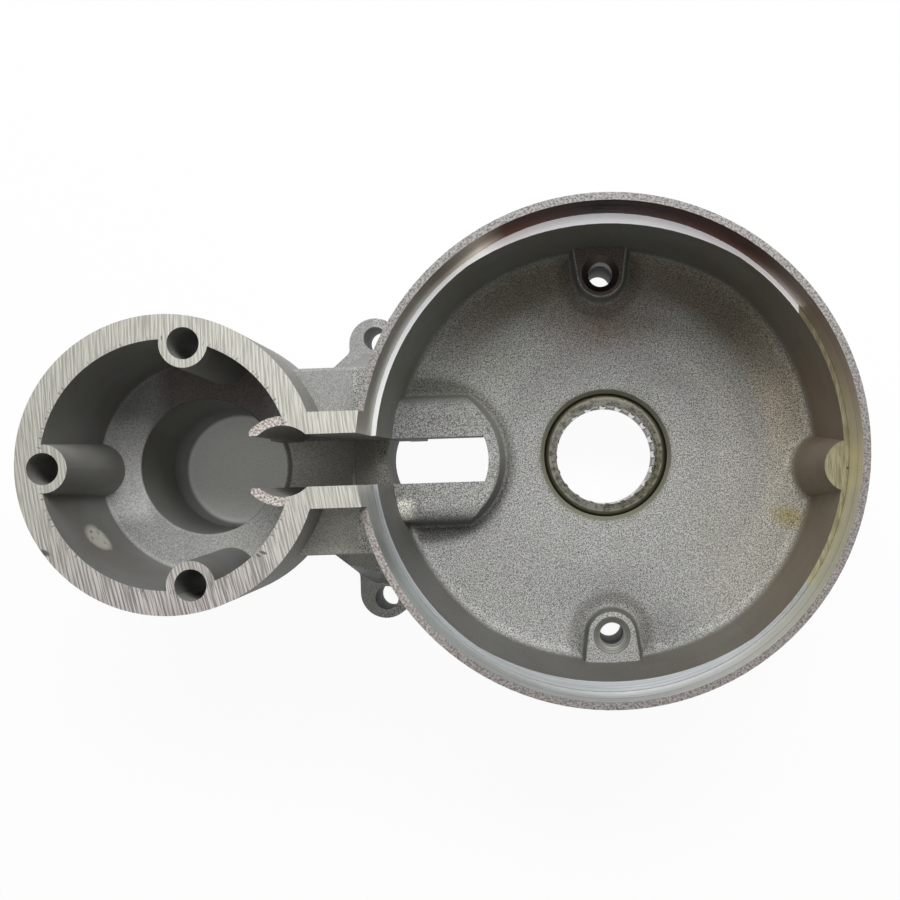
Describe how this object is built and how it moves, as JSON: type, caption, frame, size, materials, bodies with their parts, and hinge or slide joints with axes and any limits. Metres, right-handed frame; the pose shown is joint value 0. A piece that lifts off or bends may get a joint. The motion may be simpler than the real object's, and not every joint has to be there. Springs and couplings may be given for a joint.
{
  "type": "die cast housing",
  "caption": "Die cast aluminium starter motor housing with a motor cup, a solenoid cup, a lever slot between them and a needle bearing pressed into the hub.",
  "frame": {"origin": "on the bearing axis, at the end face of the spigot on the front side", "axes": "+Z along the bearing axis, out of the open end of the motor cup; -X from the bearing axis towards the solenoid cup; +Y completes a right-handed frame"},
  "size_m": [0.1664, 0.1028, 0.0615],
  "materials": {
    "cast_aluminium": "as cast, milled and turned where it mates",
    "bearing_steel": "oiled",
    "needle_steel": "ground"
  },
  "bodies": {
    "housing": {"housing": "cast_aluminium", "bearing_cup": "bearing_steel"},
    "cage": {"bearing_cage": "bearing_steel"},
    "needle_01": {"needle_roller_01": "needle_steel"},
    "needle_02": {"needle_roller_02": "needle_steel"},
    "needle_03": {"needle_roller_03": "needle_steel"},
    "needle_04": {"needle_roller_04": "needle_steel"},
    "needle_05": {"needle_roller_05": "needle_steel"},
    "needle_06": {"needle_roller_06": "needle_steel"},
    "needle_07": {"needle_roller_07": "needle_steel"},
    "needle_08": {"needle_roller_08": "needle_steel"},
    "needle_09": {"needle_roller_09": "needle_steel"},
    "needle_10": {"needle_roller_10": "needle_steel"},
    "needle_11": {"needle_roller_11": "needle_steel"},
    "needle_12": {"needle_roller_12": "needle_steel"},
    "needle_13": {"needle_roller_13": "needle_steel"},
    "needle_14": {"needle_roller_14": "needle_steel"},
    "needle_15": {"needle_roller_15": "needle_steel"},
    "needle_16": {"needle_roller_16": "needle_steel"},
    "needle_17": {"needle_roller_17": "needle_steel"},
    "needle_18": {"needle_roller_18": "needle_steel"},
    "needle_19": {"needle_roller_19": "needle_steel"},
    "needle_20": {"needle_roller_20": "needle_steel"}
  },
  "joints": [
    {"name": "cage_turn", "type": "hinge", "parent": "housing", "child": "cage", "pos_m": [0, 0, 0.0098], "axis": [0, 0, 1], "continuous": true},
    {"name": "needle_01_turn", "type": "hinge", "parent": "cage", "child": "needle_01", "pos_m": [0.012, 0, 0.0098], "axis": [0, 0, 1], "continuous": true},
    {"name": "needle_02_turn", "type": "hinge", "parent": "cage", "child": "needle_02", "pos_m": [0.01141, 0.00371, 0.0098], "axis": [0, 0, 1], "continuous": true},
    {"name": "needle_03_turn", "type": "hinge", "parent": "cage", "child": "needle_03", "pos_m": [0.00971, 0.00705, 0.0098], "axis": [0, 0, 1], "continuous": true},
    {"name": "needle_04_turn", "type": "hinge", "parent": "cage", "child": "needle_04", "pos_m": [0.00705, 0.00971, 0.0098], "axis": [0, 0, 1], "continuous": true},
    {"name": "needle_05_turn", "type": "hinge", "parent": "cage", "child": "needle_05", "pos_m": [0.00371, 0.01141, 0.0098], "axis": [0, 0, 1], "continuous": true},
    {"name": "needle_06_turn", "type": "hinge", "parent": "cage", "child": "needle_06", "pos_m": [0, 0.012, 0.0098], "axis": [0, 0, 1], "continuous": true},
    {"name": "needle_07_turn", "type": "hinge", "parent": "cage", "child": "needle_07", "pos_m": [-0.00371, 0.01141, 0.0098], "axis": [0, 0, 1], "continuous": true},
    {"name": "needle_08_turn", "type": "hinge", "parent": "cage", "child": "needle_08", "pos_m": [-0.00705, 0.00971, 0.0098], "axis": [0, 0, 1], "continuous": true},
    {"name": "needle_09_turn", "type": "hinge", "parent": "cage", "child": "needle_09", "pos_m": [-0.00971, 0.00705, 0.0098], "axis": [0, 0, 1], "continuous": true},
    {"name": "needle_10_turn", "type": "hinge", "parent": "cage", "child": "needle_10", "pos_m": [-0.01141, 0.00371, 0.0098], "axis": [0, 0, 1], "continuous": true},
    {"name": "needle_11_turn", "type": "hinge", "parent": "cage", "child": "needle_11", "pos_m": [-0.012, 0, 0.0098], "axis": [0, 0, 1], "continuous": true},
    {"name": "needle_12_turn", "type": "hinge", "parent": "cage", "child": "needle_12", "pos_m": [-0.01141, -0.00371, 0.0098], "axis": [0, 0, 1], "continuous": true},
    {"name": "needle_13_turn", "type": "hinge", "parent": "cage", "child": "needle_13", "pos_m": [-0.00971, -0.00705, 0.0098], "axis": [0, 0, 1], "continuous": true},
    {"name": "needle_14_turn", "type": "hinge", "parent": "cage", "child": "needle_14", "pos_m": [-0.00705, -0.00971, 0.0098], "axis": [0, 0, 1], "continuous": true},
    {"name": "needle_15_turn", "type": "hinge", "parent": "cage", "child": "needle_15", "pos_m": [-0.00371, -0.01141, 0.0098], "axis": [0, 0, 1], "continuous": true},
    {"name": "needle_16_turn", "type": "hinge", "parent": "cage", "child": "needle_16", "pos_m": [0, -0.012, 0.0098], "axis": [0, 0, 1], "continuous": true},
    {"name": "needle_17_turn", "type": "hinge", "parent": "cage", "child": "needle_17", "pos_m": [0.00371, -0.01141, 0.0098], "axis": [0, 0, 1], "continuous": true},
    {"name": "needle_18_turn", "type": "hinge", "parent": "cage", "child": "needle_18", "pos_m": [0.00705, -0.00971, 0.0098], "axis": [0, 0, 1], "continuous": true},
    {"name": "needle_19_turn", "type": "hinge", "parent": "cage", "child": "needle_19", "pos_m": [0.00971, -0.00705, 0.0098], "axis": [0, 0, 1], "continuous": true},
    {"name": "needle_20_turn", "type": "hinge", "parent": "cage", "child": "needle_20", "pos_m": [0.01141, -0.00371, 0.0098], "axis": [0, 0, 1], "continuous": true}
  ],
  "couplings": [
    {"joint": "needle_01_turn", "follows": "cage_turn", "ratio": -13},
    {"joint": "needle_02_turn", "follows": "cage_turn", "ratio": -13},
    {"joint": "needle_03_turn", "follows": "cage_turn", "ratio": -13},
    {"joint": "needle_04_turn", "follows": "cage_turn", "ratio": -13},
    {"joint": "needle_05_turn", "follows": "cage_turn", "ratio": -13},
    {"joint": "needle_06_turn", "follows": "cage_turn", "ratio": -13},
    {"joint": "needle_07_turn", "follows": "cage_turn", "ratio": -13},
    {"joint": "needle_08_turn", "follows": "cage_turn", "ratio": -13},
    {"joint": "needle_09_turn", "follows": "cage_turn", "ratio": -13},
    {"joint": "needle_10_turn", "follows": "cage_turn", "ratio": -13},
    {"joint": "needle_11_turn", "follows": "cage_turn", "ratio": -13},
    {"joint": "needle_12_turn", "follows": "cage_turn", "ratio": -13},
    {"joint": "needle_13_turn", "follows": "cage_turn", "ratio": -13},
    {"joint": "needle_14_turn", "follows": "cage_turn", "ratio": -13},
    {"joint": "needle_15_turn", "follows": "cage_turn", "ratio": -13},
    {"joint": "needle_16_turn", "follows": "cage_turn", "ratio": -13},
    {"joint": "needle_17_turn", "follows": "cage_turn", "ratio": -13},
    {"joint": "needle_18_turn", "follows": "cage_turn", "ratio": -13},
    {"joint": "needle_19_turn", "follows": "cage_turn", "ratio": -13},
    {"joint": "needle_20_turn", "follows": "cage_turn", "ratio": -13}
  ]
}
